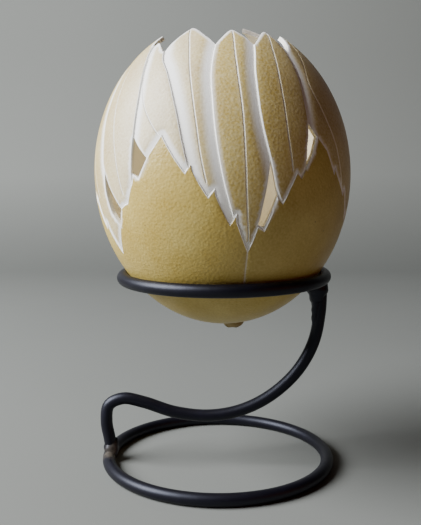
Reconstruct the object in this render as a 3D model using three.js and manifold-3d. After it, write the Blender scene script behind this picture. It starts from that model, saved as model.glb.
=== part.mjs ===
// A carved ostrich egg, open at the top, resting in the upper ring of a stand bent from round iron rod.
// Millimetres, +Z up. The origin is on the table, under the middle of the object's box.
import * as THREE from 'three';
import { mergeVertices } from 'three/addons/utils/BufferGeometryUtils.js';
import Module from 'manifold-3d';

// ---------- driving dimensions ----------

const FIT_GAP = 0.3;

// The egg
const EGG_RADIUS = 61.2;
const EGG_HALF_LENGTH = 72;
const SHELL_WALL = 2;
const EGG_LEAN_DEG = 2.2;
const SEAT_DROP = 46.8;          // the ring touches the shell this far below the egg's middle
const SHELL_SEGMENTS = 66;
const SHELL_ROWS = 16;
const CUT_PIVOT = 30;            // the crown is cut along lines from this point of the axis

// The blow hole under the egg and the lump of filler in it
const HOLE_RADIUS = 4;
const HOLE_OFFSET_X = 3;
const PLUG_HEAD_RADIUS = 5.2;
const PLUG_DEPTH = 3;
const PLUG_SEGMENTS = 9;

// The stand
const ROD_RADIUS = 3;
const ROD_SIDES = 8;
const RING_SEGMENTS = 60;
const BASE_RING_RADIUS = 53.5;
const BASE_RING_STRETCH = 1.02;  // the base ring was bent a little wider than deep
const TOP_RING_X = 2.8;
const TOP_RING_Z = 94.2;
const TOP_RING_TILT_DEG = 0.5;   // up to the right
const TOP_RING_DIP_DEG = 0.8;    // down to the front
const RISER_STEPS = 44;
const RISER_FOOT_Z = 6.9;
const RISER_TOP_Z = 90.2;
const WELD_SEGMENTS = 16;

// Petal tips, as [longitude in degrees, height above the egg's middle]. Longitude 0 is the front (-Y)
// and grows towards +X. The petal at 117 degrees was left taller than the rest.
const TIPS = [
  [-89, 60.5], [-70, 64.6], [-52.7, 59.6], [-25, 64.8], [10.7, 62.3], [41.2, 62.2], [70, 62.4], [85, 61],
  [117, 70], [139.5, 65.3], [159.5, 61], [178, 62], [196, 60.5], [214, 62], [233, 60.5], [254, 60.5],
];

// The low point between each tip and the next one, in the same order
const NOTCHES = [
  [-78, 55], [-56.5, 58.6], [-37.2, 53.6], [-2.5, 55], [21.8, 54.6], [46, 52.2], [77, 54], [96, 54.5],
  [136.5, 65.2], [150, 54], [169, 53.5], [187, 54], [205, 53.5], [223, 54], [243, 53.5], [265, 53.5],
];
const EDGE_ROUNDNESS = 1.55;     // 1 gives straight petal edges at the crown, more gives fuller ones
const EDGE_STEPS = 4;
const CUT_PAST_SHELL = 10;       // every cutter starts and ends this far clear of the shell's wall

// Places where the shell is cut right through between two petals and the leaf below them
const PIERCED_GAPS = [
  [[-61.5, 6], [-58.2, 0], [-53.2, -7.8], [-49.5, -12.7], [-52.5, -20.5], [-57.4, -15], [-59.8, -7]],
  [[-40, 17], [-40.7, 2], [-37, 0], [-32.5, 8]],
  [[17.6, 4.7], [15, -9], [12.3, -21.3], [14.7, -22.5], [20.2, -9.4], [18.3, 1]],
  [[37.6, 20], [34.8, 10], [33.4, 1.5], [37.2, 7], [40.9, 14.5], [39.8, 16.2]],
  [[88.5, 3], [85.5, -8], [83.7, -20.5], [86, -19], [91, -6]],
  [[104, 12], [101.5, 2], [104, -2], [108, 7]],
  [[178, 13], [175.5, 3], [178.5, -1], [182, 8]],
  [[236, -3], [233.5, -10], [231.5, -20.5], [234.5, -18], [239, -9]],
];

const wasm = await Module();
wasm.setup();

// ---------- shared helpers ----------

const radians = THREE.MathUtils.degToRad;

function eggRadiusAt(height) {
  return EGG_RADIUS * Math.sqrt(1 - (height / EGG_HALF_LENGTH) ** 2);
}

function toSolid(geometry, matrix = new THREE.Matrix4()) {
  const bare = geometry.clone().applyMatrix4(matrix);
  bare.deleteAttribute('normal');
  bare.deleteAttribute('uv');
  const merged = mergeVertices(bare, 1e-4);
  const vertProperties = new Float32Array(merged.attributes.position.array);
  const triVerts = new Uint32Array(merged.index.array);
  return new wasm.Manifold(new wasm.Mesh({ numProp: 3, vertProperties, triVerts }));
}

function toGeometry(solid) {
  const mesh = solid.getMesh();
  const geometry = new THREE.BufferGeometry();
  geometry.setAttribute('position', new THREE.BufferAttribute(new Float32Array(mesh.vertProperties), 3));
  geometry.setIndex(new THREE.BufferAttribute(new Uint32Array(mesh.triVerts), 1));
  geometry.computeVertexNormals();
  return geometry;
}

function addMesh(parent, name, geometry, material) {
  const mesh = new THREE.Mesh(geometry, material);
  mesh.name = name;
  parent.add(mesh);
  return mesh;
}

function paintedIron() {
  return new THREE.MeshStandardMaterial({ color: '#1c1c21', roughness: 0.42, metalness: 0.3 });
}

// A lathe turns its profile about Y, so each turned shape is stood up to turn about Z.
function turned(profile, segments) {
  const points = profile.map(([radius, height]) => new THREE.Vector2(radius, height));
  return new THREE.LatheGeometry(points, segments).rotateX(Math.PI / 2);
}

// The corners of a rod's section, with a flat side underneath and its flats on the rod's true radius
function rodSection(radius) {
  const cornerRadius = radius / Math.cos(Math.PI / ROD_SIDES);
  const corners = [];
  for (let i = 0; i < ROD_SIDES; i += 1) {
    const angle = ((i + 0.5) * 2 * Math.PI) / ROD_SIDES;
    corners.push([cornerRadius * Math.cos(angle), cornerRadius * Math.sin(angle)]);
  }
  return corners;
}

function rodRing(ringRadius, rodRadius) {
  const profile = rodSection(rodRadius).map(([x, y]) => [ringRadius + x, y]);
  profile.push(profile[0]);
  return turned(profile, RING_SEGMENTS);
}

// ---------- where the egg sits in the ring ----------

// The ring's centre line lies off the touching circle along the shell's normal.
const touchRadius = eggRadiusAt(-SEAT_DROP);
const normal = new THREE.Vector2(touchRadius / EGG_RADIUS ** 2, -SEAT_DROP / EGG_HALF_LENGTH ** 2);
normal.normalize();
const topRingRadius = touchRadius + (ROD_RADIUS + FIT_GAP) * normal.x;
const ringBelowMiddle = SEAT_DROP - (ROD_RADIUS + FIT_GAP) * normal.y;

// The egg can lean about the point where the normals of the touching circle meet, and still touch.
const pivotBelowMiddle = SEAT_DROP + touchRadius * (normal.y / normal.x);

const pivotAboveRing = ringBelowMiddle - pivotBelowMiddle;

const seat = new THREE.Group();
seat.position.set(TOP_RING_X, pivotAboveRing * Math.sin(radians(TOP_RING_DIP_DEG)), TOP_RING_Z);
seat.rotation.set(radians(TOP_RING_DIP_DEG), -radians(TOP_RING_TILT_DEG), 0);

const leaningEgg = new THREE.Group();
leaningEgg.position.z = pivotAboveRing;
leaningEgg.rotation.set(-radians(TOP_RING_DIP_DEG), -radians(EGG_LEAN_DEG - TOP_RING_TILT_DEG), 0);
seat.add(leaningEgg);

// ---------- eggshell ----------

function wholeEgg(radius, halfLength) {
  const profile = [];
  for (let i = 0; i <= SHELL_ROWS; i += 1) {
    const turn = (Math.PI * i) / SHELL_ROWS;
    profile.push([radius * Math.sin(turn), -halfLength * Math.cos(turn)]);
  }
  profile[0][0] = 0;
  profile[SHELL_ROWS][0] = 0;
  return toSolid(turned(profile, SHELL_SEGMENTS));
}

// The crown's outline, with full, rounded edges running down from each tip to the notches beside it
function crownOutline() {
  const corners = TIPS.flatMap((tip, i) => [tip, NOTCHES[i]]);
  const outline = [];
  corners.forEach((corner, i) => {
    const next = corners[(i + 1) % corners.length];
    const nextLongitude = next[0] < corner[0] ? next[0] + 360 : next[0];
    const fromTip = i % 2 === 0;
    for (let k = 0; k < EDGE_STEPS; k += 1) {
      const share = k / EDGE_STEPS;
      const drop = fromTip ? share ** EDGE_ROUNDNESS : 1 - (1 - share) ** EDGE_ROUNDNESS;
      const height = corner[1] + (next[1] - corner[1]) * drop;
      outline.push([corner[0] + (nextLongitude - corner[0]) * share, height]);
    }
  });
  return outline;
}

// A tall drum whose lower end rises and falls with the crown. Its lower face runs out from one point
// of the axis, so the cut goes squarely through the wall.
function crownCutter() {
  const outline = crownOutline();
  const drumRadius = EGG_RADIUS + CUT_PAST_SHELL;
  const drumTop = 2 * EGG_HALF_LENGTH;
  const drum = new THREE.CylinderGeometry(drumRadius, drumRadius, 1, outline.length).rotateX(Math.PI / 2);
  const position = drum.attributes.position;
  for (let i = 0; i < position.count; i += 1) {
    const isTop = position.getZ(i) > 0;
    const isHub = Math.hypot(position.getX(i), position.getY(i)) < 1;
    if (isHub) {
      position.setXYZ(i, 0, 0, isTop ? drumTop : CUT_PIVOT);
      continue;
    }
    const turn = Math.atan2(position.getX(i), -position.getY(i)) / (2 * Math.PI);
    const place = Math.round((turn + 1) * outline.length) % outline.length;
    const [longitude, height] = outline[place];
    const angle = radians(longitude);
    const reach = drumRadius / eggRadiusAt(height);
    const rimZ = CUT_PIVOT + (height - CUT_PIVOT) * reach;
    position.setXYZ(i, drumRadius * Math.sin(angle), -drumRadius * Math.cos(angle), isTop ? drumTop : rimZ);
  }
  return toSolid(drum);
}

// A block with the gap's outline, bent round the axis so that it goes straight through the wall
function gapCutter(outline) {
  const shape = new THREE.Shape(outline.map(([longitude, height]) => new THREE.Vector2(longitude, height)));
  const innerReach = EGG_RADIUS - SHELL_WALL - CUT_PAST_SHELL;
  const depth = SHELL_WALL + 2 * CUT_PAST_SHELL;
  const block = new THREE.ExtrudeGeometry(shape, { depth, bevelEnabled: false });
  const position = block.attributes.position;
  for (let i = 0; i < position.count; i += 1) {
    const angle = radians(position.getX(i));
    const reach = innerReach + position.getZ(i);
    position.setXYZ(i, reach * Math.sin(angle), -reach * Math.cos(angle), position.getY(i));
  }
  return toSolid(block);
}

function blowHoleCutter() {
  const drillLength = SHELL_WALL + 2 * CUT_PAST_SHELL;
  const drill = new THREE.CylinderGeometry(HOLE_RADIUS, HOLE_RADIUS, drillLength, 24).rotateX(Math.PI / 2);
  return toSolid(drill.translate(HOLE_OFFSET_X, 0, -EGG_HALF_LENGTH));
}

// The shell grew as one piece: petals and leaves are carved in it and stay joined at the foot.
function eggshell() {
  const hollow = wholeEgg(EGG_RADIUS - SHELL_WALL, EGG_HALF_LENGTH - SHELL_WALL);
  let shell = wholeEgg(EGG_RADIUS, EGG_HALF_LENGTH).subtract(hollow);
  shell = shell.subtract(crownCutter()).subtract(blowHoleCutter());
  for (const outline of PIERCED_GAPS) {
    shell = shell.subtract(gapCutter(outline));
  }
  return toGeometry(shell);
}

const shellMaterial = new THREE.MeshStandardMaterial({ color: '#d8cc9e', roughness: 0.5, metalness: 0 });
addMesh(leaningEgg, 'eggshell', eggshell(), shellMaterial).position.z = pivotBelowMiddle;

// ---------- filler in the blow hole ----------

function holePlug() {
  const stemRadius = HOLE_RADIUS - FIT_GAP;
  const headTop = -EGG_HALF_LENGTH * Math.sqrt(1 - (PLUG_HEAD_RADIUS / EGG_RADIUS) ** 2) - FIT_GAP;
  const underStem = -EGG_HALF_LENGTH - FIT_GAP;
  const profile = [
    [0, -EGG_HALF_LENGTH - PLUG_DEPTH],
    [2.2, -EGG_HALF_LENGTH - PLUG_DEPTH + 0.3],
    [PLUG_HEAD_RADIUS - 0.6, underStem - 1.2],
    [PLUG_HEAD_RADIUS, headTop - 0.2],
    [PLUG_HEAD_RADIUS - 0.4, headTop],
    [stemRadius, underStem + 0.05],
    [stemRadius, -EGG_HALF_LENGTH + SHELL_WALL],
    [0, -EGG_HALF_LENGTH + SHELL_WALL],
  ];
  return turned(profile, PLUG_SEGMENTS);
}

const plugMaterial = new THREE.MeshStandardMaterial({ color: '#7a6a35', roughness: 0.6, metalness: 0 });
addMesh(leaningEgg, 'hole_plug', holePlug(), plugMaterial).position.set(HOLE_OFFSET_X, 0, pivotBelowMiddle);

// ---------- top ring ----------

addMesh(seat, 'top_ring', rodRing(topRingRadius, ROD_RADIUS), paintedIron());

// ---------- base ring ----------

function baseRing(rodRadius) {
  return rodRing(BASE_RING_RADIUS, rodRadius).scale(BASE_RING_STRETCH, 1, 1).translate(0, 0, ROD_RADIUS);
}

const stand = new THREE.Group();
addMesh(stand, 'base_ring', baseRing(ROD_RADIUS), paintedIron());

// ---------- riser ----------

// The rod's middle line, seen from the front as [x, z]: up off the base ring, over a hump, down in a
// long dip under the egg and up to the right side of the top ring
const RISER_PATH = [
  [-BASE_RING_RADIUS - 0.3, RISER_FOOT_Z],
  [-54.6, 12],
  [-55.9, 20],
  [-54.6, 28.6],
  [-47.5, 32],
  [-37, 30],
  [-22, 25],
  [-5, 23],
  [11, 25.6],
  [26, 33],
  [39.5, 45.6],
  [47.4, 60],
  [50.4, 75],
  [51, RISER_TOP_Z],
];

function riserRod(radius) {
  const points = RISER_PATH.map(([x, z]) => new THREE.Vector3(x, 0, z));
  const curve = new THREE.CatmullRomCurve3(points, false, 'centripetal');
  const section = new THREE.Shape(rodSection(radius).map(([x, y]) => new THREE.Vector2(x, y)));
  return new THREE.ExtrudeGeometry(section, { steps: RISER_STEPS, extrudePath: curve, bevelEnabled: false });
}

addMesh(stand, 'riser', riserRod(ROD_RADIUS), paintedIron());

// ---------- welds ----------

seat.updateMatrixWorld(true);

// A weld is a collar of metal round one end of the riser, cut back clear of both rods. Its profile is
// given as [radius, height above the riser's end].
function weldCollar(profile, place, rodEnd, ring) {
  const collar = turned(profile, WELD_SEGMENTS).translate(...place);
  const endRound = new THREE.SphereGeometry(ROD_RADIUS + FIT_GAP, 12, 8).translate(...rodEnd);
  return toSolid(collar)
    .subtract(toSolid(riserRod(ROD_RADIUS + FIT_GAP)))
    .subtract(toSolid(endRound))
    .subtract(ring);
}

function baseWeld() {
  const profile = [[0, -2.6], [4.4, -2.6], [4.7, 0.5], [4.3, 3], [3.9, 5], [0, 5]];
  const [footX, footZ] = RISER_PATH[0];
  const ring = toSolid(baseRing(ROD_RADIUS + FIT_GAP));
  return toGeometry(weldCollar(profile, [footX, 0, footZ], [footX, 0, footZ], ring));
}

// The upper weld bulges under the inside of the ring and stays clear of the shell.
function topWeld() {
  const profile = [[0, -11.5], [3.9, -11.5], [4.9, -7.5], [5.2, -3], [4.8, 1.6], [0, 1.6]];
  const [topX, topZ] = RISER_PATH.at(-1);
  const middle = [topX - 1.1, -0.7, topZ];
  const ring = toSolid(rodRing(topRingRadius, ROD_RADIUS + FIT_GAP), seat.matrixWorld);
  const clearEgg = new THREE.SphereGeometry(1, 48, 32).rotateX(Math.PI / 2);
  clearEgg.scale(EGG_RADIUS + FIT_GAP, EGG_RADIUS + FIT_GAP, EGG_HALF_LENGTH + FIT_GAP);
  clearEgg.translate(0, 0, pivotBelowMiddle);
  const collar = weldCollar(profile, middle, [topX, 0, topZ], ring);
  return toGeometry(collar.subtract(toSolid(clearEgg, leaningEgg.matrixWorld)));
}

addMesh(stand, 'base_weld', baseWeld(), paintedIron());
addMesh(stand, 'top_weld', topWeld(), paintedIron());

// ---------- the whole object ----------

const group = new THREE.Group();
group.name = 'carved_egg_on_stand';
group.add(stand, seat);
group.updateMatrixWorld(true);

// The origin goes under the middle of the object's box.
const middle = new THREE.Box3().setFromObject(group, true).getCenter(new THREE.Vector3());
stand.position.x -= middle.x;
stand.position.y -= middle.y;
seat.position.x -= middle.x;
seat.position.y -= middle.y;

export default group;
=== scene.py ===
import math

import bmesh
import bpy
import numpy as np
from mathutils import Matrix, Vector, geometry, kdtree, noise


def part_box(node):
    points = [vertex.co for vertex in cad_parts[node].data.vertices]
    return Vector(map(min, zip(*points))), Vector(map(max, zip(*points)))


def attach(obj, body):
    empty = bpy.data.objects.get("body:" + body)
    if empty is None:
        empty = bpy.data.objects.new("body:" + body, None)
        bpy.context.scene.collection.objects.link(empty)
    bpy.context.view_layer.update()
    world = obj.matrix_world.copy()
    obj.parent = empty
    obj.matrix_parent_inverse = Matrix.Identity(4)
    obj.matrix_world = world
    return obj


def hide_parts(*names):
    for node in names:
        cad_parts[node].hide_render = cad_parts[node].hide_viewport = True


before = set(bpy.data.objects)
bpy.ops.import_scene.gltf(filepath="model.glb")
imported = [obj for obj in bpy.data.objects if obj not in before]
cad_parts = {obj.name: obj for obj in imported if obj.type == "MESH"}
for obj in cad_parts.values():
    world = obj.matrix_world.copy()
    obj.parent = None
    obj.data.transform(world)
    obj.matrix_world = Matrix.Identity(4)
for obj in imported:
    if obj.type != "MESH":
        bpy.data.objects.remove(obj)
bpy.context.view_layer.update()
MM = 0.001


# ---------- camera ----------
# It stands 351 mm in front of the stand, level with the egg's middle, and looks slightly down. It is turned a
# little to the right, towards the egg.

CAMERA_PLACE = Vector((-9.755, -351.17, 140.16)) * MM
CAMERA_DIP = math.radians(6.463)
CAMERA_TURN = math.radians(0.6635)
CAMERA_FRAME_HEIGHT = 36
CAMERA_LENS = 49.37

camera_data = bpy.data.cameras.new("camera")
camera_data.sensor_fit = "VERTICAL"
camera_data.sensor_height = CAMERA_FRAME_HEIGHT
camera_data.lens = CAMERA_LENS
camera = bpy.data.objects.new("camera", camera_data)
camera.location = CAMERA_PLACE
camera.rotation_euler = (math.pi / 2 - CAMERA_DIP, 0, -CAMERA_TURN)
bpy.context.scene.collection.objects.link(camera)
bpy.context.scene.camera = camera


# ---------- base ring ----------
# Round 6 mm mild-steel rod, bent into a slightly oval ring and butt-welded, then dipped in satin black paint
# with the rest of the stand. It lies flat on the table.

ROD_RADIUS = 3 * MM
ROD_SIDES = 32
RING_STEPS = 200
BASE_RING_RADIUS = 53.5 * MM
BASE_RING_STRETCH = 1.02
PAINT_RUN = 7 * MM
PAINT_GRIT = 0.7 * MM

# The patch beside the lower weld where the paint is rubbed off
CHIP_PLACE = Vector((-54.2, -6.5, 6.5)) * MM
CHIP_SIZE = 8.0 * MM
CHIP_RAGGEDNESS = 2.2 * MM

# The Mix node's colour sockets go by number, because its number sockets have the same names
MIX_A, MIX_B, MIX_RESULT = 6, 7, 2


def linear(colour):
    """An sRGB hex colour as the linear RGBA that a shader socket takes."""
    parts = [int(colour[i:i + 2], 16) / 255 for i in (1, 3, 5)]
    return [p / 12.92 if p <= 0.04045 else ((p + 0.055) / 1.055) ** 2.4 for p in parts] + [1]


def add_node(material, kind, links=None, **settings):
    """Adds one node. Links gives its inputs, each a socket to link from or a value to set."""
    node = material.node_tree.nodes.new(kind)
    for name, value in settings.items():
        setattr(node, name, value)
    for name, value in (links or {}).items():
        if isinstance(value, bpy.types.NodeSocket):
            material.node_tree.links.new(value, node.inputs[name])
        else:
            node.inputs[name].default_value = value
    return node


def new_material(name):
    """An empty material with its surface shader and output."""
    material = bpy.data.materials.new(name)
    material.use_nodes = True
    material.node_tree.nodes.clear()
    shader = add_node(material, "ShaderNodeBsdfPrincipled")
    add_node(material, "ShaderNodeOutputMaterial", {"Surface": shader.outputs["BSDF"]})
    return material, shader


def feed(material, shader, **sockets):
    """Links or sets the shader's inputs; a socket's name is given with _ for each space."""
    for name, value in sockets.items():
        target = shader.inputs[name.replace("_", " ")]
        if isinstance(value, bpy.types.NodeSocket):
            material.node_tree.links.new(value, target)
        else:
            target.default_value = value


def dipped_black_paint():
    """Satin black paint, dipped over iron: it gives soft, wide highlights with a faint blue painted into
    them, a painted reflection of blue daylight, and small runs and a slightly paler black where the coat is
    thin."""
    material, shader = new_material("dipped_black_paint")
    place = add_node(material, "ShaderNodeTexCoord").outputs["Object"]
    runs = add_node(material, "ShaderNodeTexNoise", {"Vector": place, "Scale": 1 / PAINT_RUN, "Detail": 3})
    grit = add_node(material, "ShaderNodeTexNoise", {"Vector": place, "Scale": 1 / PAINT_GRIT, "Detail": 4})
    thin = add_node(material, "ShaderNodeMapRange",
                    {"Value": runs.outputs["Fac"], "From Min": 0.55, "From Max": 0.8})
    colour = add_node(material, "ShaderNodeMix", {
        "Factor": thin.outputs["Result"], MIX_A: linear("#08060e"), MIX_B: linear("#0e0c18"),
    }, data_type="RGBA")
    gloss = add_node(material, "ShaderNodeMapRange",
                     {"Value": grit.outputs["Fac"], "To Min": 0.38, "To Max": 0.5})
    waves = add_node(material, "ShaderNodeBump",
                     {"Height": runs.outputs["Fac"], "Strength": 0.25, "Distance": 0.5 * MM})
    surface = add_node(material, "ShaderNodeBump", {
        "Height": grit.outputs["Fac"], "Strength": 0.12, "Distance": 0.06 * MM,
        "Normal": waves.outputs["Normal"],
    })
    # Painted reflection: the blue Specular Tint stands in for the blue of the daylight in the highlights
    feed(material, shader, Base_Color=colour.outputs[MIX_RESULT], Roughness=gloss.outputs["Result"],
         Normal=surface.outputs["Normal"], IOR=1.42, Specular_Tint=linear("#e0e6f8"))
    return material


def chipped_black_paint():
    """The same dipped paint, rubbed off beside the lower weld down to dull grey-brown metal."""
    material = dipped_black_paint()
    material.name = "chipped_black_paint"
    shader = next(n for n in material.node_tree.nodes if n.type == "BSDF_PRINCIPLED")
    paint = shader.inputs["Base Color"].links[0].from_socket
    place = add_node(material, "ShaderNodeTexCoord").outputs["Object"]
    reach = add_node(material, "ShaderNodeVectorMath", {0: place, 1: CHIP_PLACE}, operation="DISTANCE")
    ragged = add_node(material, "ShaderNodeTexNoise",
                      {"Vector": place, "Scale": 1 / CHIP_RAGGEDNESS, "Detail": 5})
    edge = add_node(material, "ShaderNodeMath",
                    {0: ragged.outputs["Fac"], 1: CHIP_SIZE * 1.2, 2: reach.outputs["Value"]},
                    operation="MULTIPLY_ADD")
    bare = add_node(material, "ShaderNodeMapRange", {
        "Value": edge.outputs["Value"], "From Min": CHIP_SIZE * 1.5, "From Max": CHIP_SIZE * 0.8,
        "To Min": 0, "To Max": 0.75,
    })
    colour = add_node(material, "ShaderNodeMix", {
        "Factor": bare.outputs["Result"], MIX_A: paint, MIX_B: linear("#5c554a"),
    }, data_type="RGBA")
    feed(material, shader, Base_Color=colour.outputs[MIX_RESULT])
    return material


def smooth_object(name, bm, material):
    """Turns a bmesh into a smooth-shaded object of one material."""
    mesh = bpy.data.meshes.new(name)
    bm.to_mesh(mesh)
    bm.free()
    mesh.shade_smooth()
    mesh.materials.append(material)
    result = bpy.data.objects.new(name, mesh)
    bpy.context.scene.collection.objects.link(result)
    return result


def finished_piece(name, bm, material, node):
    """Turns a bmesh into a piece that rides on the stand and replaces one CAD node."""
    piece = smooth_object(name, bm, material)
    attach(piece, "root")
    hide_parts(node)
    return piece


def middle_of(node):
    """The middle of a CAD node's box."""
    low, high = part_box(node)
    return (low + high) / 2


def rod_ring(ring_radius, place):
    """Round rod bent into a full ring about Z, then put in place."""
    bm = bmesh.new()
    bmesh.ops.create_circle(bm, segments=ROD_SIDES, radius=ROD_RADIUS)
    bmesh.ops.rotate(bm, verts=bm.verts, matrix=Matrix.Rotation(math.pi / 2, 3, "X"))
    bmesh.ops.translate(bm, verts=bm.verts, vec=(ring_radius, 0, 0))
    bmesh.ops.spin(bm, geom=bm.verts[:] + bm.edges[:], cent=(0, 0, 0), axis=(0, 0, 1),
                   angle=2 * math.pi, steps=RING_STEPS, use_merge=True)
    bmesh.ops.remove_doubles(bm, verts=bm.verts, dist=0.01 * MM)
    bmesh.ops.recalc_face_normals(bm, faces=bm.faces)
    bmesh.ops.transform(bm, verts=bm.verts, matrix=place)
    return bm


black_paint = dipped_black_paint()
chipped_paint = chipped_black_paint()
base_ring_place = Matrix.Translation(middle_of("base_ring"))
base_ring_place = base_ring_place @ Matrix.Diagonal((BASE_RING_STRETCH, 1, 1, 1))
finished_piece("base_ring_rod", rod_ring(BASE_RING_RADIUS, base_ring_place), chipped_paint,
               "base_ring")


# ---------- riser ----------
# The same rod, bent cold in one plane: up off the base ring, over a hump, down in a long dip under the egg
# and up to the right side of the top ring. Both ends are cut square and welded on.

RISER_STEP = 1.5 * MM
RISER_SHARP_ANGLE = math.radians(50)

# The rod's middle line as (x, z) in mm: x from the base ring's middle, z from the table
RISER_PATH = [
    (-53.8, 6.9), (-54.6, 12), (-55.9, 20), (-54.6, 28.6), (-47.5, 32), (-37, 30), (-22, 25),
    (-5, 23), (11, 25.6), (26, 33), (39.5, 45.6), (47.4, 60), (50.4, 75), (51, 90.2),
]


def curve_through(points, pieces=24):
    """A smooth centripetal Catmull-Rom curve through the points, as many short straight pieces."""
    points = np.asarray(points, float)
    points = np.vstack((2 * points[0] - points[1], points, 2 * points[-1] - points[-2]))
    curve = []
    for before, start, end, after in zip(points, points[1:], points[2:], points[3:]):
        pairs = (before, start), (start, end), (end, after)
        first, second, third = [max(math.dist(a, b) ** 0.5, 1e-6) for a, b in pairs]
        leave = second * ((start - before) / first - (end - before) / (first + second)
                          + (end - start) / second)
        arrive = second * ((end - start) / second - (after - start) / (second + third)
                           + (after - end) / third)
        for share in np.arange(pieces) / pieces:
            square, cube = share ** 2, share ** 3
            curve.append((2 * cube - 3 * square + 1) * start + (cube - 2 * square + share) * leave
                         + (3 * square - 2 * cube) * end + (cube - square) * arrive)
    return np.array(curve + [points[-2]])


def even_steps(line, lengths, step):
    """Cuts a line to even steps, where lengths gives the real length of each of its pieces."""
    along = np.concatenate(([0], np.cumsum(lengths)))
    wanted = np.linspace(0, along[-1], max(2, round(along[-1] / step) + 1))
    return np.column_stack([np.interp(wanted, along, line[:, k]) for k in range(line.shape[1])])


def riser_rod():
    """A circle pushed out along the middle line, a step at a time, and closed at both ends."""
    path = curve_through(RISER_PATH) * MM
    path = even_steps(path, np.linalg.norm(np.diff(path, axis=0), axis=1), RISER_STEP)
    headings = np.gradient(path, axis=0)
    middle = middle_of("base_ring")
    frames = []
    for (x, z), (run, rise) in zip(path, headings):
        turn = Matrix.Rotation(math.atan2(run, rise), 4, "Y")
        frames.append(Matrix.Translation((middle.x + x, middle.y, z)) @ turn)
    bm = bmesh.new()
    bmesh.ops.create_circle(bm, segments=ROD_SIDES, radius=ROD_RADIUS, cap_ends=True)
    bmesh.ops.transform(bm, verts=bm.verts, matrix=frames[0])
    rim = bm.edges[:]
    for place, next_place in zip(frames, frames[1:]):
        pushed = bmesh.ops.extrude_edge_only(bm, edges=rim)["geom"]
        rim = [g for g in pushed if isinstance(g, bmesh.types.BMEdge)]
        rim_verts = [g for g in pushed if isinstance(g, bmesh.types.BMVert)]
        bmesh.ops.transform(bm, verts=rim_verts, matrix=next_place @ place.inverted())
    bmesh.ops.contextual_create(bm, geom=rim)
    bmesh.ops.recalc_face_normals(bm, faces=bm.faces)
    return bm


riser = finished_piece("riser_rod", riser_rod(), black_paint, "riser")
riser.data.set_sharp_from_angle(angle=RISER_SHARP_ANGLE)


# ---------- welds ----------
# Lumpy beads of weld metal where the riser's two ends meet the rings, left unground and painted over. The
# lower one fills the corner in front of the riser's foot. The upper one runs down the riser's inner side.

WELD_LUMP = 2.6 * MM
WELD_ROUGHNESS = 0.4 * MM

# Each bead as (radius, height) in mm, measured from the riser's end, then its shift and its lean from there
BASE_BEAD = [(0, -5.4), (2.3, -5.2), (3.2, -4.0), (3.6, -2.0), (3.7, 0.2), (3.4, 2.4), (3.0, 4.4), (0, 5.2)]
BASE_BEAD_SHIFT = Vector((0.2, 0, 0)) * MM
BASE_BEAD_LEAN = math.radians(-24)
TOP_BEAD = [
    (0, -22), (0.9, -21.4), (1.5, -19), (1.9, -16), (2.1, -12.5), (2.4, -10), (3.4, -8.4), (4.3, -5.8),
    (5.3, -3.4), (5.2, -1.5), (4.4, 0.7), (3.4, 1.5), (0, 1.6),
]
TOP_BEAD_SHIFT = Vector((-1.9, -0.7, 0)) * MM
TOP_BEAD_LEAN = math.radians(3.5)


def lumpy_bead(profile, place, lump, depth, seed, steps=40):
    """A turned bead about Z whose skin swells and dips in lumps of a given size and depth."""
    bm = bmesh.new()
    line = curve_through(profile, pieces=5) * MM
    corners = [bm.verts.new((max(radius, 0), 0, height)) for radius, height in line]
    edges = [bm.edges.new(pair) for pair in zip(corners, corners[1:])]
    bmesh.ops.spin(bm, geom=corners + edges, cent=(0, 0, 0), axis=(0, 0, 1),
                   angle=2 * math.pi, steps=steps, use_merge=True)
    bmesh.ops.remove_doubles(bm, verts=bm.verts, dist=0.02 * MM)
    bmesh.ops.recalc_face_normals(bm, faces=bm.faces)
    bm.normal_update()
    shift = Vector((seed, seed, seed))
    moves = [v.normal * depth * noise.noise(v.co / lump + shift) for v in bm.verts]
    for vert, move in zip(bm.verts, moves):
        vert.co += move
    bmesh.ops.transform(bm, verts=bm.verts, matrix=place)
    return bm


def at_riser_end(index, shift, lean, axis):
    """The place of a bead at one end of the riser."""
    middle = middle_of("base_ring")
    x, z = RISER_PATH[index]
    end = Vector((middle.x + x * MM, middle.y, z * MM))
    return Matrix.Translation(end + shift) @ Matrix.Rotation(lean, 4, axis)


base_bead_place = at_riser_end(0, BASE_BEAD_SHIFT, BASE_BEAD_LEAN, "X")
base_bead = lumpy_bead(BASE_BEAD, base_bead_place, WELD_LUMP, WELD_ROUGHNESS, seed=3.0)
finished_piece("base_weld_bead", base_bead, chipped_paint, "base_weld")

top_bead_place = at_riser_end(-1, TOP_BEAD_SHIFT, TOP_BEAD_LEAN, "Y")
top_bead = lumpy_bead(TOP_BEAD, top_bead_place, WELD_LUMP, WELD_ROUGHNESS, seed=7.0)
finished_piece("top_weld_bead", top_bead, black_paint, "top_weld")


# ---------- top ring ----------
# A second, slightly smaller ring of the same rod, welded on the riser's end. It dips a little to the front
# and its left side is a little low. The egg only rests in it.

TOP_RING_RADIUS = 49.18 * MM
TOP_RING_TILT = math.radians(0.5)
TOP_RING_DIP = math.radians(0.8)

top_ring_turn = Matrix.Rotation(TOP_RING_DIP, 4, "X") @ Matrix.Rotation(-TOP_RING_TILT, 4, "Y")
top_ring_place = Matrix.Translation(middle_of("top_ring")) @ top_ring_turn
finished_piece("top_ring_rod", rod_ring(TOP_RING_RADIUS, top_ring_place), black_paint,
               "top_ring")


# ---------- eggshell ----------
# One ostrich eggshell, grown in one piece, its top cut off. A rotary burr carved it into sixteen petals that
# seem to overlap, rising out of four saw-edged leaves. Where one petal dips under the next, the cream skin
# is ground away down to the chalk-white shell.

EGG_MIDDLE = Vector((0, 0, 142.93)) * MM
EGG_LEAN = math.radians(2.2)
SHELL_SHARP_ANGLE = math.radians(28)

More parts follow.
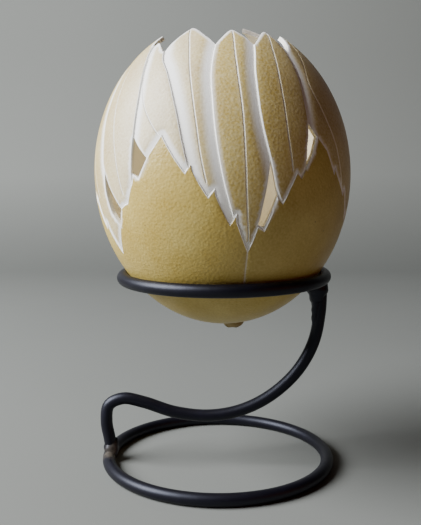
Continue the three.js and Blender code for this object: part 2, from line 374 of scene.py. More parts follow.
# The shell is worked out in mm about the egg's own middle. It is scaled and put in place at the end.
EGG_RADIUS = 61.05
EGG_HALF_LENGTH = 72.0
SHELL_WALL = 2.0
BLOW_HOLE_RADIUS = 4.0
BLOW_HOLE_CORNERS = 28
BLOW_HOLE_X = 3.0

# Places on the shell are (longitude in degrees, height above the egg's middle in mm). Longitude 0 is the
# front and grows to the right. Each crown corner is a petal's tip, then the notch after it.
CROWN = [
    (-89, 60.5), (-78, 55), (-70, 64.6), (-56.5, 58.6), (-52.7, 59.6), (-37.2, 53.6), (-25, 64.8),
    (-2.5, 55), (10.7, 62.3), (21.8, 54.6), (41.2, 62.2), (46, 52.2), (70, 62.4), (77, 54), (85, 61),
    (96, 54.5), (117, 70), (136.5, 65.2), (139.5, 65.3), (150, 54), (159.5, 61), (169, 53.5), (178, 62),
    (187, 54), (196, 60.5), (205, 53.5), (214, 62), (223, 54), (233, 60.5), (243, 53.5), (254, 60.5),
    (265, 53.5),
]
CROWN_FULLNESS = 1.55
CROWN_PIECES = 12

# The edge of each upper petal, from the crown down to its foot: which side's petal lies on top, how wide the
# lower petal is ground away beside it, how wide the upper one's own edge is thinned, and the edge's points
PETAL_EDGES = [
    ("right", 5.0, 1.6, [(-76.5, 56), (-69, 42), (-66, 27), (-63, 15), (-60.7, 4), (-54.5, -6.5),
                         (-48.7, -13.8)]),
    ("left", 6.5, 0.6, [(-56.2, 59.1), (-47, 49), (-41.8, 36), (-40.4, 23), (-40.5, 10), (-40.8, -1)]),
    ("left", 8.0, 0.6, [(-37, 54.2), (-34.2, 50), (-28.5, 44), (-24.5, 37.5), (-20, 26), (-17, 13.5),
                        (-14.5, 2)]),
    ("right", 6.5, 1.8, [(-2, 55.8), (-3.7, 50.5), (-4.9, 42), (-4.4, 30), (-3.2, 14), (-1.2, -1),
                         (0.7, -10.5), (2.8, -19)]),
    ("right", 6.0, 0.8, [(22.2, 55.2), (20.2, 51.5), (16.8, 43), (15.3, 30), (15.6, 19), (17.8, 5.3),
                         (19.8, -5.5), (22.8, -13.5)]),
    ("left", 6.0, 0.6, [(43, 53.5), (41.7, 49), (40.3, 41), (38.2, 30), (36.7, 18), (34.7, 7), (30, -4)]),
    ("left", 4.5, 0.6, [(77, 54.8), (78, 42), (80.5, 30), (83.5, 18), (86, 9), (88.5, 3)]),
    ("right", 6.0, 1.2, [(96, 55.2), (90, 42), (87, 28), (87, 14), (88.5, 3), (91, -6), (93.5, -14)]),
    ("left", 6.0, 0.8, [(136.5, 65.8), (130, 56), (120, 42), (111, 28), (104, 12), (101.5, 2), (100.5, -3)]),
    ("left", 5.0, 0.6, [(150, 54.8), (144, 42), (138, 26), (134, 10), (132, -4)]),
    ("right", 6.0, 1.0, [(169, 54.3), (164, 42), (160, 26), (157, 10), (156, -4), (156, -20)]),
    ("left", 5.5, 0.6, [(187, 54.8), (185, 42), (182, 28), (178, 13), (175.5, 3), (174.5, -4)]),
    ("left", 5.0, 0.8, [(205, 54.3), (206, 42), (206, 26), (205, 10), (204, -8)]),
    ("right", 6.0, 1.2, [(223, 54.8), (225, 42), (228.5, 26), (232, 10), (236, -3), (239, -9), (242, -15)]),
    ("left", 5.5, 0.6, [(243, 54.3), (249, 42), (255, 27), (258, 12), (258, -1)]),
    ("right", 5.5, 1.0, [(265, 54.5), (270, 42), (274, 28), (277, 12), (279, -3), (281, -14)]),
]

# The groove down each petal's middle, from its tip to its foot
MIDRIBS = [
    [(-88, 58), (-85, 42), (-80, 24), (-75, 8), (-69, -8)],
    [(-68.5, 62.5), (-61.5, 46), (-55.2, 24.7), (-51, 10.5), (-46.5, -6)],
    [(-50.5, 57.5), (-42.5, 41), (-36.5, 30), (-30, 20.5), (-27.7, 17.5)],
    [(-25.2, 63.4), (-19.4, 55.3), (-14.7, 39.3), (-11.7, 23.7), (-9.5, 7.3), (-7.8, -3)],
    [(10.3, 61), (8.2, 52.5), (7.4, 41.8), (7.6, 26), (7.5, 4), (7.6, -10), (8.5, -28)],
    [(40.6, 60.8), (33.2, 53.5), (28.4, 41.2), (26.6, 29), (26, 15), (27, 0.5)],
    [(67, 60.8), (54, 49.5), (46, 38), (48.8, 25.5), (54.1, 11), (57.5, -3), (60, -10)],
    [(85, 59.5), (84.5, 42), (85.5, 26), (86.5, 12)],
    [(116, 68.5), (107, 52), (100.5, 32), (96, 10), (95.5, -6)],
    [(140, 63.8), (133, 48), (124, 28), (117, 18)],
    [(159.5, 59.5), (154, 42), (149, 24), (145, 6), (144, -10)],
    [(178, 60.5), (174, 42), (170, 24), (167, 6), (166, -10)],
    [(196, 59), (196, 42), (194, 28), (191, 17)],
    [(214, 60.5), (215, 42), (217, 22), (218.5, 4), (219, -14)],
    [(233, 59), (238, 42), (243, 24), (247, 6), (248, -3)],
    [(254, 59), (260, 42), (265, 26), (268, 14)],
]

# A leaf's saw edge, from the valley on its left over its tip to the valley on its right
LEFT_LEAF = [
    (-59.8, -33.5), (-55.4, -26.1), (-52.5, -21), (-48.9, -13.1), (-46.1, -11.6), (-43.9, -10.9),
    (-42.2, -6.7), (-39.9, -1.3), (-39.6, 1.2), (-36.8, -1), (-35.1, 1.6), (-31.2, 9), (-25.7, 16.7),
    (-21.6, 9.5), (-15.9, 0.8), (-13.6, 4.5), (-13.1, 1.9), (-7.3, -9.3), (-4.7, -6.1), (-4.4, -8.4),
    (0.8, -20.8), (3.5, -16.6), (3.4, -19.3), (8.3, -32.4),
]
RIGHT_LEAF = [
    (8.3, -32.4), (10, -29), (12.3, -22), (15, -24.1), (18, -17.3), (20.1, -10.1), (22.5, -13.1),
    (25.9, -6.3), (28.9, -0.7), (31, -2.8), (34.1, 2.5), (37, 7), (40.9, 14.6), (46.3, 8.5),
    (50.9, -1.8), (52.3, 0.6), (53, -1.6), (60.8, -11.3), (62.2, -8.6), (63, -11), (70, -22.5),
    (71.6, -19.6), (72.2, -22.4), (78, -33),
]
LEAF_STARTS = [78, 152, 226]
LEAF_SPREAD = 74

# Short grooves run down from the valleys between the leaves
LEAF_SEAMS = [[(u, -33), (u - 0.3, -41), (u - 0.2, -49)] for u in (8.2, 78, 152, 226)]

# Places where the shell is cut right through between two petals and the leaf below them
PIERCED_GAPS = [
    [(-61.5, 6), (-59.8, -7), (-57.4, -15), (-52.5, -20.5), (-49.5, -12.7), (-53.2, -7.8), (-58.2, 0)],
    [(-40, 17), (-40.7, 2), (-37, 0), (-32.5, 8)],
    [(17.6, 4.7), (15, -9), (12.3, -21.3), (14.7, -22.5), (20.2, -9.4), (18.3, 1)],
    [(37.6, 20), (34.8, 10), (33.4, 1.5), (37.2, 7), (40.9, 14.5), (39.8, 16.2)],
    [(88.5, 3), (85.5, -8), (83.7, -20.5), (86, -19), (91, -6)],
    [(104, 12), (101.5, 2), (104, -2), (108, 7)],
    [(178, 13), (175.5, 3), (178.5, -1), (182, 8)],
    [(236, -3), (233.5, -10), (231.5, -20.5), (234.5, -18), (239, -9)],
]

# How far the skin of the petals is whitened, as (longitude, share from 0 to 1). It is partly real sanding and
# partly a painted highlight, whitest on the left petals that face the window
SANDING_AND_GLARE = [
    (-100, 0.1), (-75, 0.15), (-45, 0.34), (-20, 0.3), (0, 0.12), (25, 0.13), (40, 0.2), (60, 0.18),
    (90, 0.12), (230, 0), (260, 0.1),
]

# How wide the petals are ground away above the leaves' edge, as (longitude, width in mm)
LEAF_GROUND = [
    (-70, 3.2), (-45, 2.6), (-30, 3.6), (-8, 3.2), (5, 2.8), (8.5, 1.5), (12, 1.3), (45, 1.5), (55, 2.2),
    (78, 2.4),
]

# Depths and widths of the carving in mm. A step is the cliff from an upper edge down to the ground part. The
# upper edge is thinned a little, and its skin is gone over the width of the edge line.
STEP_WIDTH = 0.4
PETAL_STEP = 0.8
PETAL_EDGE_REACH = 12
LEAF_STEP = 0.45
LEAF_EDGE_WIDTH = 0.8
EDGE_LINE = 0.35
EDGE_THINNING = 0.14
RIB_HALF_WIDTH = 0.48
RIB_DEPTH = 0.34
SEAM_STRENGTH = 0.55
RIM_WIDTH = 0.5
RIM_ROUNDING = 0.25
RIM_BARE_WIDTH = 1.5

# The mesh's spacing in mm, along the carved lines and between them, and how close to a line the fill may come
LINE_STEP = 0.9
FILL_STEP = 1.3
FILL_CLEARANCE = FILL_STEP * 0.55

# The shell is drawn out flat on a round chart, its lower pole in the middle, that keeps every angle true. The
# chart's rows run up the shell by the slope of the ellipse, almost from pole to pole.
CHART_END = 1.56
CHART_HALF_ROWS = 3000
chart_slopes = np.linspace(-CHART_END, CHART_END, 2 * CHART_HALF_ROWS + 1)
chart_heights = EGG_HALF_LENGTH * np.sin(chart_slopes)
chart_runs = np.hypot(EGG_HALF_LENGTH * np.cos(chart_slopes), EGG_RADIUS * np.sin(chart_slopes))
chart_rates = chart_runs / (EGG_RADIUS * np.cos(chart_slopes))
chart_logs = np.concatenate(([0], np.cumsum((chart_rates[1:] + chart_rates[:-1]) / 2)))
chart_logs = (chart_logs - chart_logs[CHART_HALF_ROWS]) * (chart_slopes[1] - chart_slopes[0])


def ring_radius_at(height):
    """The shell's radius in mm at a height above its middle."""
    return EGG_RADIUS * np.sqrt(np.maximum(1 - (height / EGG_HALF_LENGTH) ** 2, 0))


def to_chart(places):
    """The chart's points for places of the shell."""
    places = np.asarray(places, float)
    turn = np.radians(places[:, 0])
    size = np.exp(np.interp(places[:, 1], chart_heights, chart_logs))
    return np.column_stack((size * np.sin(turn), -size * np.cos(turn)))


def from_chart(flat):
    """Longitude in degrees and height in mm of points on the chart."""
    height = np.interp(np.log(np.hypot(flat[:, 0], flat[:, 1])), chart_logs, chart_heights)
    return np.degrees(np.arctan2(flat[:, 0], -flat[:, 1])), height


def on_shell(longitude, height):
    """Points of the uncarved outer surface, in mm from the egg's middle."""
    turn = np.radians(longitude)
    radius = ring_radius_at(height)
    return np.column_stack((radius * np.sin(turn), -radius * np.cos(turn), height))


def chart_scale(flat):
    """Millimetres of shell for one unit of chart, at each point."""
    return ring_radius_at(from_chart(flat)[1]) / np.hypot(flat[:, 0], flat[:, 1])


def drawn(places, bent=True, closed=False):
    """A line on the chart through the given places of the shell, in even short steps."""
    flat = to_chart(places)
    if closed:
        flat = np.vstack((flat, flat[:1]))
    if bent:
        flat = curve_through(flat)
        pieces = np.linalg.norm(np.diff(flat, axis=0), axis=1) * chart_scale(flat)[1:]
        return even_steps(flat, pieces, LINE_STEP)
    parts = []
    for start, end in zip(flat, flat[1:]):
        piece = np.vstack((start, end))
        length = math.dist(start, end) * chart_scale(piece).mean()
        parts.append(even_steps(piece, [length], LINE_STEP)[:-1])
    return np.vstack(parts if closed else parts + [flat[-1:]])


def beside(line, offset, closed=False):
    """The same line moved sideways over the shell, to the left of its run where offset is positive."""
    ends = np.roll(line, 1, axis=0), np.roll(line, -1, axis=0)
    into, out = line - ends[0], ends[1] - line
    if not closed:
        into[0], out[-1] = out[0], into[-1]
    into /= np.linalg.norm(into, axis=1)[:, None]
    out /= np.linalg.norm(out, axis=1)[:, None]
    heading = into + out
    heading /= np.maximum(np.linalg.norm(heading, axis=1), 0.2)[:, None]
    corner = np.maximum((heading * into).sum(1), 0.6)
    left = np.column_stack((-heading[:, 1], heading[:, 0]))
    return line + left * (offset / chart_scale(line) / corner)[:, None]


def crown_line():
    """The crown's outline: full, rounded edges run down from each tip to the notches beside it."""
    places = []
    after = CROWN[1:] + [(CROWN[0][0] + 360, CROWN[0][1])]
    for i, ((u, height), (next_u, next_height)) in enumerate(zip(CROWN, after)):
        for share in np.arange(CROWN_PIECES) / CROWN_PIECES:
            drop = share ** CROWN_FULLNESS if i % 2 == 0 else 1 - (1 - share) ** CROWN_FULLNESS
            places.append((u + (next_u - u) * share, height + (next_height - height) * drop))
    return drawn(places, bent=False, closed=True)


def stretched_leaf(start):
    """A leaf of the hidden side: the right leaf's saw edge, with its tip in the middle of its place."""
    tip = max(RIGHT_LEAF, key=lambda place: place[1])
    longitudes = np.interp([u for u, _ in RIGHT_LEAF], [RIGHT_LEAF[0][0], tip[0], RIGHT_LEAF[-1][0]],
                           [start, start + LEAF_SPREAD / 2, start + LEAF_SPREAD])
    return [(u, height) for u, (_, height) in zip(longitudes, RIGHT_LEAF)]


def distance_to(line, spots):
    """Each spot's shortest distance to a line through space, in mm."""
    best = np.full(len(spots), np.inf)
    for start, end in zip(line, line[1:]):
        along = end - start
        share = np.clip((spots - start) @ along / max(along @ along, 1e-12), 0, 1)
        best = np.minimum(best, np.linalg.norm(spots - start - share[:, None] * along, axis=1))
    return best


def inside(outline, spots):
    """Whether each spot of the chart lies inside a closed outline."""
    odd = np.zeros(len(spots), bool)
    for (x0, y0), (x1, y1) in zip(outline, np.roll(outline, -1, axis=0)):
        crosses = (y0 > spots[:, 1]) != (y1 > spots[:, 1])
        if crosses.any():
            odd ^= crosses & (spots[:, 0] < (x1 - x0) * (spots[:, 1] - y0) / (y1 - y0 + 1e-30) + x0)
    return odd


crown = crown_line()
gaps = [drawn(outline, bent=False, closed=True) for outline in PIERCED_GAPS]
blow_hole = [(BLOW_HOLE_RADIUS * math.cos(a) + BLOW_HOLE_X, BLOW_HOLE_RADIUS * math.sin(a))
             for a in np.arange(BLOW_HOLE_CORNERS) * 2 * math.pi / BLOW_HOLE_CORNERS]
blow_hole = to_chart([(math.degrees(math.atan2(x, -y)),
                       -EGG_HALF_LENGTH * math.sqrt(1 - (x * x + y * y) / EGG_RADIUS ** 2))
                      for x, y in blow_hole])
leaf_places = LEFT_LEAF[:-1] + RIGHT_LEAF[:-1]
for start in LEAF_STARTS:
    leaf_places += stretched_leaf(start)[:-1]
leaf_edge = drawn(leaf_places, bent=False, closed=True)
petal_edges = [drawn(places) for _, _, _, places in PETAL_EDGES]
midribs = [drawn(places) for places in MIDRIBS]
leaf_seams = [drawn(places) for places in LEAF_SEAMS]


def scored_chart():
    """All lines of the carving and an even fill between them, as points and the edges that must be kept."""
    points, edges = [], []

    def score(line, closed=False):
        first = len(points)
        points.extend(line)
        count = len(line)
        edges.extend((first + i, first + (i + 1) % count) for i in range(count if closed else count - 1))

    score(crown, closed=True)
    score(beside(crown, RIM_WIDTH, closed=True), closed=True)
    score(blow_hole, closed=True)
    for outline in gaps:
        score(outline, closed=True)
        score(beside(outline, RIM_WIDTH, closed=True), closed=True)
    score(leaf_edge, closed=True)
    score(beside(leaf_edge, -STEP_WIDTH, closed=True), closed=True)
    score(beside(leaf_edge, EDGE_LINE, closed=True), closed=True)
    for (upper_side, _, thinned, _), line in zip(PETAL_EDGES, petal_edges):
        to_upper = 1 if upper_side == "left" else -1
        score(line)
        score(beside(line, -to_upper * STEP_WIDTH))
        score(beside(line, to_upper * EDGE_LINE))
        if thinned > 1:
            score(beside(line, to_upper * thinned))
    for line in midribs + leaf_seams:
        score(beside(line, RIB_HALF_WIDTH))
        score(line)
        score(beside(line, -RIB_HALF_WIDTH))

    longitude, height = from_chart(np.array(points))
    tree = kdtree.KDTree(len(points))
    for i, spot in enumerate(on_shell(longitude, height)):
        tree.insert(spot, i)
    tree.balance()
    lengths = np.concatenate(([0], np.cumsum((chart_runs[1:] + chart_runs[:-1]) / 2)))
    lengths *= chart_slopes[1] - chart_slopes[0]
    row_step = FILL_STEP * math.sqrt(3) / 2
    rows = np.arange(lengths[0] + 2, lengths[-1], row_step)
    for row, row_height in enumerate(np.interp(rows, lengths, chart_heights)):
        count = max(5, round(2 * math.pi * float(ring_radius_at(row_height)) / FILL_STEP))
        turns = (np.arange(count) + (row % 2) / 2) * 360 / count
        spots = on_shell(turns, np.full(count, row_height))
        keep = [tree.find(spot)[2] > FILL_CLEARANCE for spot in spots]
        flat = to_chart(np.column_stack((turns, np.full(count, row_height))))[keep]
        points.extend(flat[inside(crown, flat)])
    return points, edges


def shell_surface():
    """The uncarved outer surface, cut into triangles along every carved line and open where it is cut
    through."""
    points, edges = scored_chart()
    result = geometry.delaunay_2d_cdt([Vector(p) for p in points], edges, [], 0, 1e-7, False)
    flat = np.array([tuple(v) for v in result[0]])
    faces = np.array(result[2])
    centres = flat[faces].mean(1)
    keep = inside(crown, centres) & ~inside(blow_hole, centres)
    for outline in gaps:
        keep &= ~inside(outline, centres)
    faces = faces[keep]
    used, faces = np.unique(faces, return_inverse=True)
    faces = faces.reshape(-1, 3)
    longitude, height = from_chart(flat[used])
    return longitude, height, faces


def band(distance, start, end, power=1.3):
    """1 up to start, falling to 0 at end."""
    return np.clip(1 - (distance - start) / (end - start), 0, 1) ** power


def carving(longitude, height):
    """How deep the burr went at each point, in mm, and how much of the skin it took, from 0 to 1."""
    spots = on_shell(longitude, height)

    edge_line = on_shell(*from_chart(np.vstack((leaf_edge, leaf_edge[:1]))))
    edge_away = distance_to(edge_line, spots)
    is_leaf = inside(leaf_edge, to_chart(np.column_stack((longitude, height)))) & (edge_away > 0.01)
    ramp = np.clip(edge_away / STEP_WIDTH, 0, 1)
    ground = np.interp(longitude, *zip(*LEAF_GROUND))
    # Sanding and painted highlight: the skin is whitened most on the left petals, towards the window
    first = SANDING_AND_GLARE[0][0]
    sanding_and_glare = np.interp((longitude - first) % 360 + first, *zip(*SANDING_AND_GLARE)) * np.clip(edge_away / 2, 0, 1)
    depth = np.where(is_leaf, EDGE_THINNING * band(edge_away, 0, LEAF_EDGE_WIDTH),
                     LEAF_STEP * ramp * band(edge_away, STEP_WIDTH, ground * 1.3))
    bare = np.where(is_leaf, band(edge_away, 0.1, EDGE_LINE, 1),
                    np.maximum(band(edge_away, ground * 0.5, ground, 1), sanding_and_glare))

    for (upper_side, ground, thinned, _), line in zip(PETAL_EDGES, petal_edges):
        line_longitude, line_height = from_chart(line)
        away = distance_to(on_shell(line_longitude, line_height), spots)
        line_longitude = np.degrees(np.unwrap(np.radians(line_longitude)))
        beside_line = longitude - np.interp(height, line_height[::-1], line_longitude[::-1])
        beside_line = (beside_line + 180) % 360 - 180
        is_lower = (beside_line > 0) == (upper_side == "left")
        near = (away < PETAL_EDGE_REACH) & ~is_leaf
        ramp = np.clip(away / STEP_WIDTH, 0, 1)
        lower = EDGE_THINNING + (PETAL_STEP - EDGE_THINNING) * ramp
        lower = lower * band(away, STEP_WIDTH, ground)
        upper = EDGE_THINNING * band(away, 0, thinned + 0.6)
        depth = np.where(near, np.maximum(depth, np.where(is_lower, lower, upper)), depth)
        thin_edge = band(away, 0.1, EDGE_LINE, 1)
        if thinned > 1:
            thin_edge = np.maximum(thin_edge, 0.6 * band(away, EDGE_LINE, thinned, 1))
        fade = np.where(is_lower, band(away, ground * 0.3, ground * 0.95, 1), thin_edge)
        bare = np.where(near, np.maximum(bare, fade), bare)

    for i, line in enumerate(midribs + leaf_seams):
        away = distance_to(on_shell(*from_chart(line)), spots)
        strength = 1 if i < len(midribs) else SEAM_STRENGTH
        depth = depth + strength * RIB_DEPTH * band(away, 0, RIB_HALF_WIDTH, 1)
        bare = np.maximum(bare, strength * band(away, RIB_HALF_WIDTH * 0.6, RIB_HALF_WIDTH * 1.1, 1))

    for outline in [crown] + gaps:
        closed = np.vstack((outline, outline[:1]))
        away = distance_to(on_shell(*from_chart(closed)), spots)
        depth = np.maximum(depth, RIM_ROUNDING * band(away, 0, RIM_WIDTH, 1))
        bare = np.maximum(bare, band(away, RIM_WIDTH, RIM_BARE_WIDTH, 1))
    return depth, bare


egg_place = Matrix.Translation(EGG_MIDDLE) @ Matrix.Rotation(-EGG_LEAN, 4, "Y")


def carved_eggshell():
    """The outer surface thickened inwards to the shell's wall, then carved."""
    longitude, height, faces = shell_surface()
    spots = on_shell(longitude, height)
    mesh = bpy.data.meshes.new("shell_surface")
    mesh.from_pydata(spots.tolist(), [], faces[:, ::-1].tolist())
    bm = bmesh.new()
    bm.from_mesh(mesh)
    bpy.data.meshes.remove(mesh)
    bmesh.ops.solidify(bm, geom=bm.faces[:], thickness=SHELL_WALL)
    bm.verts.ensure_lookup_table()
    bare_layer = bm.verts.layers.float.new("bare")
    inner_layer = bm.verts.layers.float.new("inner")
    places = np.array([v.co for v in bm.verts])
    semi_axes = np.array((EGG_RADIUS, EGG_RADIUS, EGG_HALF_LENGTH))
    halfway_in = (1 - SHELL_WALL / 2 / EGG_HALF_LENGTH) ** 2
    is_outer = ((places / semi_axes) ** 2).sum(1) > halfway_in
    outer_longitude = np.degrees(np.arctan2(places[:, 0], -places[:, 1]))
    depth, bare = carving(outer_longitude[is_outer], places[is_outer, 2])
    normals = places / semi_axes ** 2
    normals /= np.linalg.norm(normals, axis=1)[:, None]
    for i, cut, loss in zip(np.flatnonzero(is_outer), depth, bare):
        vert = bm.verts[i]
        vert.co -= Vector(normals[i]) * cut
        vert[bare_layer] = loss
    for i in np.flatnonzero(~is_outer):
        bm.verts[i][inner_layer] = 1
    bmesh.ops.transform(bm, verts=bm.verts, matrix=egg_place @ Matrix.Scale(MM, 4))
    return bm


# Sizes of the shell's patterns: its dimples and the smaller unevenness between them, the burr's scratches,
# the distance between open pores, and the blotches of the skin
DIMPLE = 1.25 * MM
UNEVENNESS = 1.0 * MM
SCRATCH = 0.4 * MM
PORE_SPACING = 10 * MM
BLOTCH = 18 * MM

# The inner face is creamy up to the first of these heights above the table and white from the second. The
# white near the crown is painted light, for the daylight that falls in through the open top
INSIDE_PAINTED_LIGHT_START = 170 * MM
INSIDE_PAINTED_LIGHT_FULL = 200 * MM


def pitted_eggshell():
    """Ostrich eggshell, dry and polished by handling: a cream skin, dimpled all over about a millimetre
    apart and with a few dark pores, and chalk-white, smoother shell where the burr went through it."""
    material, shader = new_material("pitted_eggshell")
    place = add_node(material, "ShaderNodeTexCoord").outputs["Object"]
    bare = add_node(material, "ShaderNodeAttribute", attribute_name="bare").outputs["Fac"]
    inner = add_node(material, "ShaderNodeAttribute", attribute_name="inner").outputs["Fac"]
    blotches = add_node(material, "ShaderNodeTexNoise", {"Vector": place, "Scale": 1 / BLOTCH, "Detail": 3})
    dimples = add_node(material, "ShaderNodeTexVoronoi",
                       {"Vector": place, "Scale": 1 / DIMPLE, "Smoothness": 0.7}, feature="SMOOTH_F1")
    pits = add_node(material, "ShaderNodeTexNoise", {"Vector": place, "Scale": 1 / UNEVENNESS, "Detail": 2})
    scratch = add_node(material, "ShaderNodeTexNoise", {"Vector": place, "Scale": 1 / SCRATCH, "Detail": 3})
    pores = add_node(material, "ShaderNodeTexVoronoi", {"Vector": place, "Scale": 1 / PORE_SPACING})

    mottle = add_node(material, "ShaderNodeMath",
                      {0: pits.outputs["Fac"], 1: 0.7, 2: blotches.outputs["Fac"]}, operation="MULTIPLY_ADD")
    tint = add_node(material, "ShaderNodeMapRange",
                    {"Value": mottle.outputs["Value"], "From Min": 0.45, "From Max": 1.2})
    skin = add_node(material, "ShaderNodeMix", {
        "Factor": tint.outputs["Result"], MIX_A: linear("#ab8e38"), MIX_B: linear("#cdb768"),
    }, data_type="RGBA")
    open_pore = add_node(material, "ShaderNodeMapRange", {
        "Value": pores.outputs["Distance"], "From Min": 0.02, "From Max": 0.035, "To Min": 0.8, "To Max": 0,
    })
    pored_skin = add_node(material, "ShaderNodeMix", {
        "Factor": open_pore.outputs["Result"], MIX_A: skin.outputs[MIX_RESULT], MIX_B: linear("#3d2a14"),
    }, data_type="RGBA")

    ragged = add_node(material, "ShaderNodeMath", {0: pits.outputs["Fac"], 1: 0.3, 2: bare},
                      operation="MULTIPLY_ADD")
    worn = add_node(material, "ShaderNodeMapRange",
                    {"Value": ragged.outputs["Value"], "From Min": 0.2, "From Max": 1.05})
    outer_face = add_node(material, "ShaderNodeMix", {
        "Factor": worn.outputs["Result"], MIX_A: pored_skin.outputs[MIX_RESULT], MIX_B: linear("#f3f1ea"),
    }, data_type="RGBA")
    height = add_node(material, "ShaderNodeSeparateXYZ", {"Vector": place}).outputs["Z"]
    # Painted light: the inner face turns whiter towards the crown, where daylight falls in through the open
    # top
    painted_crown_light = add_node(material, "ShaderNodeMapRange",
                          {"Value": height, "From Min": INSIDE_PAINTED_LIGHT_START, "From Max": INSIDE_PAINTED_LIGHT_FULL})
    inner_face = add_node(material, "ShaderNodeMix", {
        "Factor": painted_crown_light.outputs["Result"], MIX_A: linear("#f0e6cb"), MIX_B: linear("#f8f8f5"),
    }, data_type="RGBA")
    colour = add_node(material, "ShaderNodeMix", {
        "Factor": inner, MIX_A: outer_face.outputs[MIX_RESULT], MIX_B: inner_face.outputs[MIX_RESULT],
    }, data_type="RGBA")

    dull = add_node(material, "ShaderNodeMath", {0: bare, 1: inner}, operation="MAXIMUM").outputs["Value"]
    gloss = add_node(material, "ShaderNodeMapRange", {"Value": dull, "To Min": 0.4, "To Max": 0.6})
    relief = add_node(material, "ShaderNodeMapRange", {"Value": dull, "To Min": 0.9, "To Max": 0.1})
    uneven = add_node(material, "ShaderNodeMath",
                      {0: pits.outputs["Fac"], 1: 0.8, 2: dimples.outputs["Distance"]},
                      operation="MULTIPLY_ADD")
    pitted = add_node(material, "ShaderNodeBump", {
        "Height": uneven.outputs["Value"], "Distance": 0.11 * MM, "Strength": relief.outputs["Result"],
    })
    surface = add_node(material, "ShaderNodeBump", {
        "Height": scratch.outputs["Fac"], "Strength": 0.3, "Distance": 0.05 * MM,
        "Normal": pitted.outputs["Normal"],
    })
    feed(material, shader, Base_Color=colour.outputs[MIX_RESULT], Roughness=gloss.outputs["Result"],
         Normal=surface.outputs["Normal"], IOR=1.5)
    return material


egg = finished_piece("carved_shell", carved_eggshell(), pitted_eggshell(), "eggshell")
egg.data.set_sharp_from_angle(angle=SHELL_SHARP_ANGLE)


# ---------- filler in the blow hole ----------
# A dab of ochre-brown filler, pushed into the hole that the egg was blown through and left rough. It stands
# proud underneath as a small lump.

# The lump as (radius, height above the egg's middle) in mm. Its neck goes through the hole.
PLUG = [
    (0, -75.0), (2.6, -74.7), (4.4, -73.6), (5.0, -72.3), (4.8, -72.0), (3.7, -71.9), (3.6, -70.2), (0, -70),
]
PLUG_LUMP = 3.0 * MM
PLUG_ROUGHNESS = 0.55 * MM
PLUG_GRAIN = 0.9 * MM


def set_filler():
    """Resin filler coloured with earth, which looks dull, grainy and ochre-brown."""
    material, shader = new_material("set_filler")
    place = add_node(material, "ShaderNodeTexCoord").outputs["Object"]
    grain = add_node(material, "ShaderNodeTexNoise", {"Vector": place, "Scale": 1 / PLUG_GRAIN, "Detail": 4})
    colour = add_node(material, "ShaderNodeMix", {
        "Factor": grain.outputs["Fac"], MIX_A: linear("#86713f"), MIX_B: linear("#ad9560"),
    }, data_type="RGBA")
    surface = add_node(material, "ShaderNodeBump",
                       {"Height": grain.outputs["Fac"], "Strength": 0.5, "Distance": 0.2 * MM})
    feed(material, shader, Base_Color=colour.outputs[MIX_RESULT], Roughness=0.6,
         Normal=surface.outputs["Normal"])
    return material


plug_place = egg_place @ Matrix.Translation((BLOW_HOLE_X * MM, 0, 0))
plug = lumpy_bead(PLUG, plug_place, PLUG_LUMP, PLUG_ROUGHNESS, seed=11.0, steps=36)
finished_piece("filler_lump", plug, set_filler(), "hole_plug")


# ---------- floor and light ----------
# A plain pale floor that sweeps up into a plain wall behind, and one large soft window to the left, a little
# in front of the egg and above it. A weak warm light fills the right side. Sizes and places are in metres.

FLOOR_HALF_WIDTH = 2.2
FLOOR_FRONT = 1.6
FLOOR_BACK = 0.75
FLOOR_BEND = 0.4
BEND_CORNERS = 13
WALL_HEIGHT = 1.5
ROLLER_MOTTLE = 0.2
FLOOR_GREY_TOP = 5 * MM
WALL_GREY_FROM = 160 * MM

WINDOW_PLACE = (-0.965, -0.19, 0.83)
WINDOW_SIZE = 1.0
WINDOW_POWER = 62
FILL_PLACE = (0.9, -0.6, 0.3)
FILL_SIZE = 0.8
FILL_POWER = 0.6
SEEPING_SIZE = 30 * MM
SEEPING_POWER = 0.012
ROOM_STRENGTH = 0.03


def plain_plaster():
    """Matt paint, grey on the floor and paler up the wall, with the faint unevenness of a roller."""
    material, shader = new_material("plain_plaster")
    place = add_node(material, "ShaderNodeTexCoord").outputs["Object"]
    height = add_node(material, "ShaderNodeSeparateXYZ", {"Vector": place}).outputs["Z"]
    mottle = add_node(material, "ShaderNodeTexNoise",
                      {"Vector": place, "Scale": 1 / ROLLER_MOTTLE, "Detail": 3})
    level = add_node(material, "ShaderNodeMath", {0: mottle.outputs["Fac"], 1: 0.02, 2: height},
                     operation="MULTIPLY_ADD")
    paler = add_node(material, "ShaderNodeMapRange", {
        "Value": level.outputs["Value"], "From Min": FLOOR_GREY_TOP, "From Max": WALL_GREY_FROM,
    })
    colour = add_node(material, "ShaderNodeMix", {
        "Factor": paler.outputs["Result"], MIX_A: linear("#6b6d68"), MIX_B: linear("#8b8d87"),
    }, data_type="RGBA")
    feed(material, shader, Base_Color=colour.outputs[MIX_RESULT], Roughness=0.85)
    return material


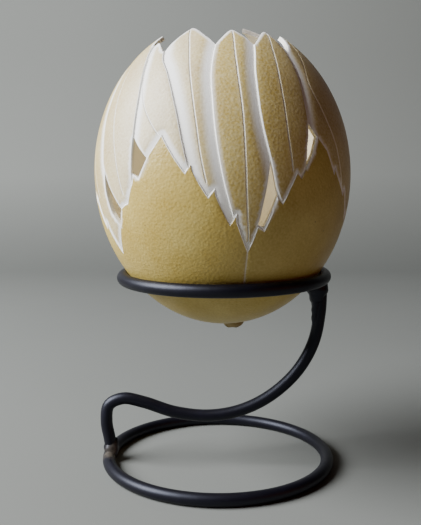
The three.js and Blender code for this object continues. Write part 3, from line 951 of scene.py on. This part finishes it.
def sweep_of_floor():
    """The floor and wall as one sheet: its section, pushed sideways."""
    bm = bmesh.new()
    bend = [(FLOOR_BACK + FLOOR_BEND * math.sin(a), FLOOR_BEND * (1 - math.cos(a)))
            for a in np.linspace(0, math.pi / 2, BEND_CORNERS)]
    section = [(-FLOOR_FRONT, 0)] + bend + [(FLOOR_BACK + FLOOR_BEND, WALL_HEIGHT)]
    corners = [bm.verts.new((-FLOOR_HALF_WIDTH, y, z)) for y, z in section]
    edges = [bm.edges.new(pair) for pair in zip(corners, corners[1:])]
    pushed = bmesh.ops.extrude_edge_only(bm, edges=edges)["geom"]
    far_side = [g for g in pushed if isinstance(g, bmesh.types.BMVert)]
    bmesh.ops.translate(bm, verts=far_side, vec=(2 * FLOOR_HALF_WIDTH, 0, 0))
    bmesh.ops.recalc_face_normals(bm, faces=bm.faces)
    return bm


def soft_light(name, place, size, power, colour):
    """A round soft light that faces the egg."""
    data = bpy.data.lights.new(name, "AREA")
    data.shape = "DISK"
    data.size = size
    data.energy = power
    data.color = linear(colour)[:3]
    light = bpy.data.objects.new(name, data)
    light.location = place
    light.rotation_euler = (EGG_MIDDLE - Vector(place)).to_track_quat("-Z", "Y").to_euler()
    bpy.context.scene.collection.objects.link(light)


floor = smooth_object("floor", sweep_of_floor(), plain_plaster())
soft_light("window_light", WINDOW_PLACE, WINDOW_SIZE, WINDOW_POWER, "#f7f9ff")
soft_light("warm_fill", FILL_PLACE, FILL_SIZE, FILL_POWER, "#ff7c30")

# Daylight that seeps through the thin shell, as one faint light inside it
seeping = bpy.data.lights.new("seeping_light", "POINT")
seeping.energy = SEEPING_POWER
seeping.shadow_soft_size = SEEPING_SIZE
seeping.color = linear("#fff3dc")[:3]
seeping_light = bpy.data.objects.new("seeping_light", seeping)
seeping_light.location = EGG_MIDDLE
bpy.context.scene.collection.objects.link(seeping_light)

world = bpy.data.worlds.new("plain_room")
world.use_nodes = True
background = world.node_tree.nodes["Background"]
background.inputs["Color"].default_value = linear("#b4b5ae")
background.inputs["Strength"].default_value = ROOM_STRENGTH
bpy.context.scene.world = world
